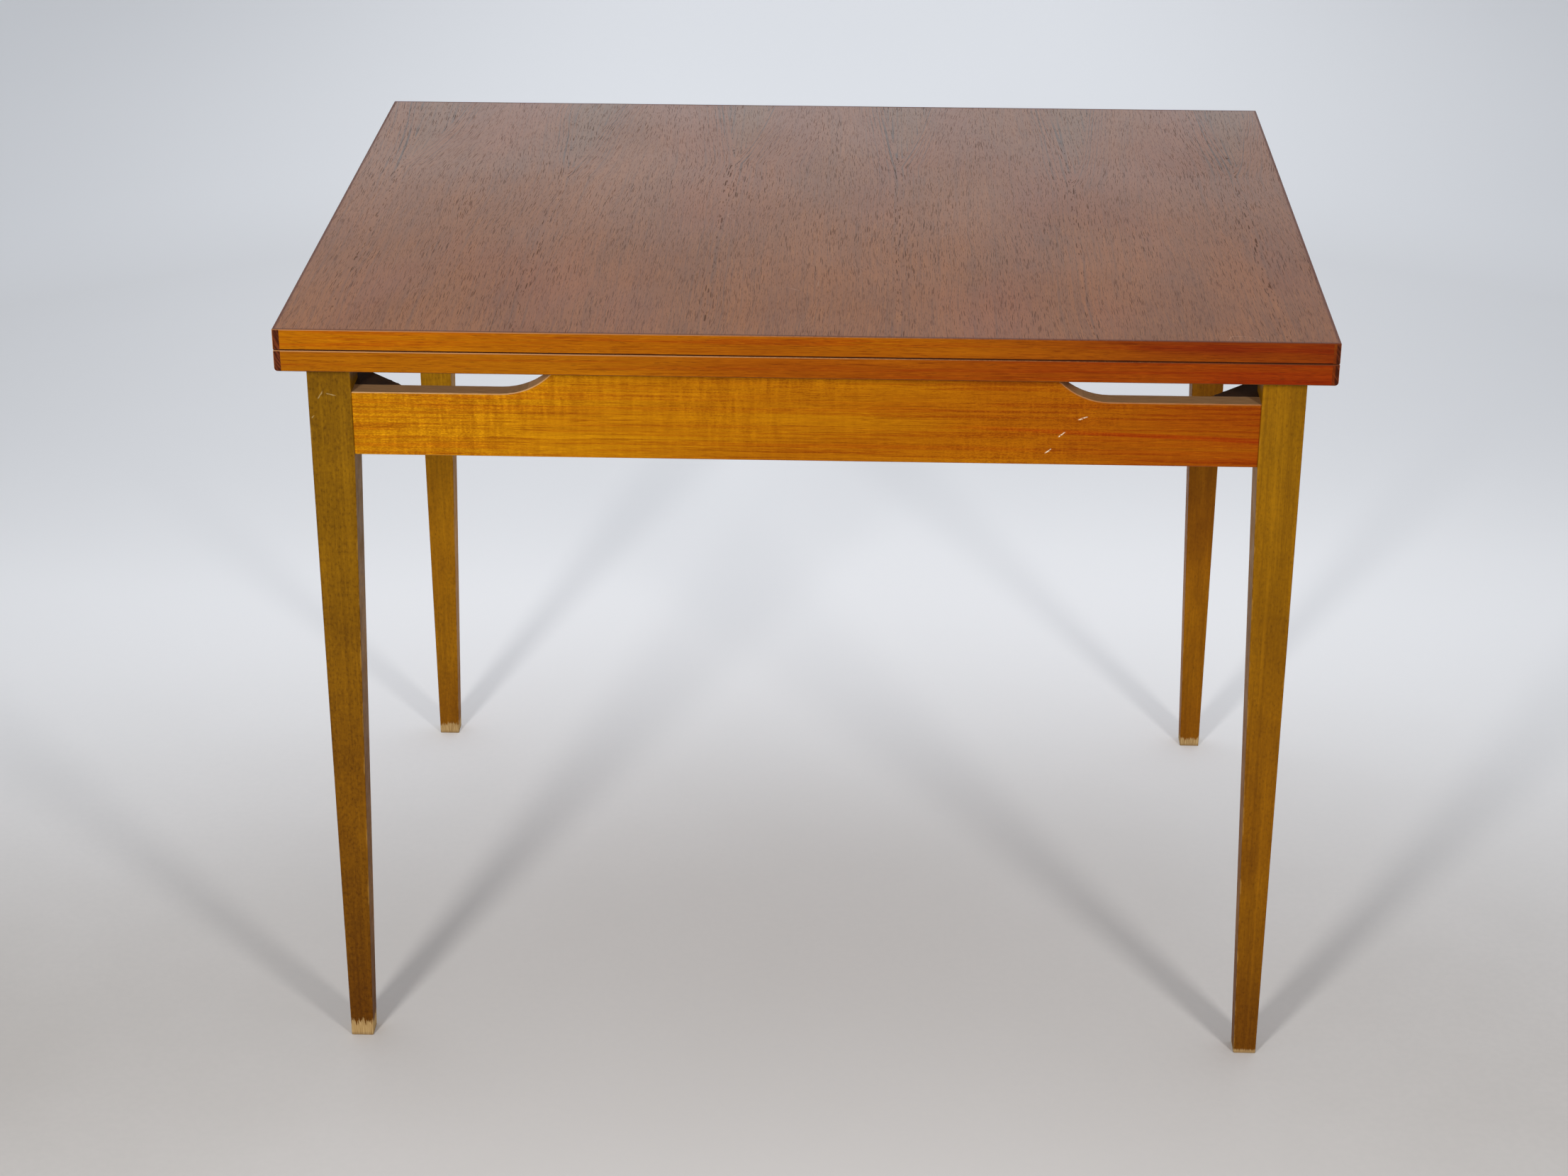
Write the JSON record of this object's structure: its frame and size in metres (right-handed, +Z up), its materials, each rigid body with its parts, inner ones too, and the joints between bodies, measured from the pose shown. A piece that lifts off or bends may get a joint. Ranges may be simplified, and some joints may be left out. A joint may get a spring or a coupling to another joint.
{
  "type": "extending table",
  "caption": "Small wooden dining table whose double top swivels on its tapered-leg frame and folds open to twice the area.",
  "frame": {"origin": "on the floor, under the middle of the closed top's outline", "axes": "+X along the long side, to the right as seen from the front; +Y from the front to the hinged back edge; +Z up"},
  "size_m": [0.91, 0.7065, 0.73],
  "materials": {
    "top_veneer": "satin oiled teak veneer",
    "under_veneer": "matt veneer",
    "lipping_teak": "satin oiled teak",
    "apron_teak": "satin oiled teak",
    "leg_beech": "satin stained beech",
    "rail_beech": "plain planed beech",
    "block_wood": "matt stained softwood",
    "core_board": "raw blockboard",
    "felt": "pressed wool felt",
    "fibre": "vulcanised fibre",
    "brass": "aged brass",
    "zinc_steel": "zinc-plated steel",
    "screw_steel": "dark steel"
  },
  "bodies": {
    "frame": {"leg_front_left": "leg_beech", "leg_front_right": "leg_beech", "leg_back_left": "leg_beech", "leg_back_right": "leg_beech", "apron_front": "apron_teak", "apron_back": "apron_teak", "apron_left": "apron_teak", "apron_right": "apron_teak", "corner_block_front_left": "block_wood", "corner_block_front_right": "block_wood", "corner_block_back_left": "block_wood", "corner_block_back_right": "block_wood", "corner_block_screws": "screw_steel", "pivot_rail": "rail_beech", "support_rail": "rail_beech", "felt_glides": "felt", "stop_pin": "zinc_steel", "pivot_bush": "brass", "slip_washer": "fibre"},
    "lower_leaf": {"lower_core": "core_board", "lower_top_veneer": "top_veneer", "lower_bottom_veneer": "under_veneer", "lower_lipping_left": "lipping_teak", "lower_lipping_right": "lipping_teak", "lower_lipping_front": "lipping_teak", "lower_lipping_back": "lipping_teak", "lower_hinge_barrels": "brass", "pivot_plate": "zinc_steel", "pivot_plate_screws": "screw_steel", "pivot_bolt": "zinc_steel", "pivot_washer": "zinc_steel", "pivot_nut": "zinc_steel"},
    "upper_leaf": {"upper_core": "core_board", "upper_top_veneer": "top_veneer", "upper_bottom_veneer": "top_veneer", "upper_lipping_left": "lipping_teak", "upper_lipping_right": "lipping_teak", "upper_lipping_front": "lipping_teak", "upper_lipping_back": "lipping_teak", "upper_hinge_barrels": "brass"},
    "hinge_rings_1": {"hinge_rings_lower": "brass"},
    "hinge_rings_2": {"hinge_rings_upper": "brass"}
  },
  "joints": [
    {"name": "top_swivel", "type": "hinge", "parent": "frame", "child": "lower_leaf", "pos_m": [0.175, 0.175, 0.6917], "axis": [0, 0, 1], "range_deg": [0, 90]},
    {"name": "leaf_fold", "type": "hinge", "parent": "lower_leaf", "child": "upper_leaf", "pos_m": [0, 0.35, 0.71085], "axis": [-1, 0, 0], "range_deg": [0, 180]},
    {"name": "ring_1_turn", "type": "hinge", "parent": "lower_leaf", "child": "hinge_rings_1", "pos_m": [0, 0.35, 0.71085], "axis": [-1, 0, 0], "range_deg": [0, 60]},
    {"name": "ring_2_turn", "type": "hinge", "parent": "lower_leaf", "child": "hinge_rings_2", "pos_m": [0, 0.35, 0.71085], "axis": [-1, 0, 0], "range_deg": [0, 120]}
  ],
  "couplings": [
    {"joint": "ring_1_turn", "follows": "leaf_fold", "ratio": 0.33333},
    {"joint": "ring_2_turn", "follows": "leaf_fold", "ratio": 0.66667}
  ]
}
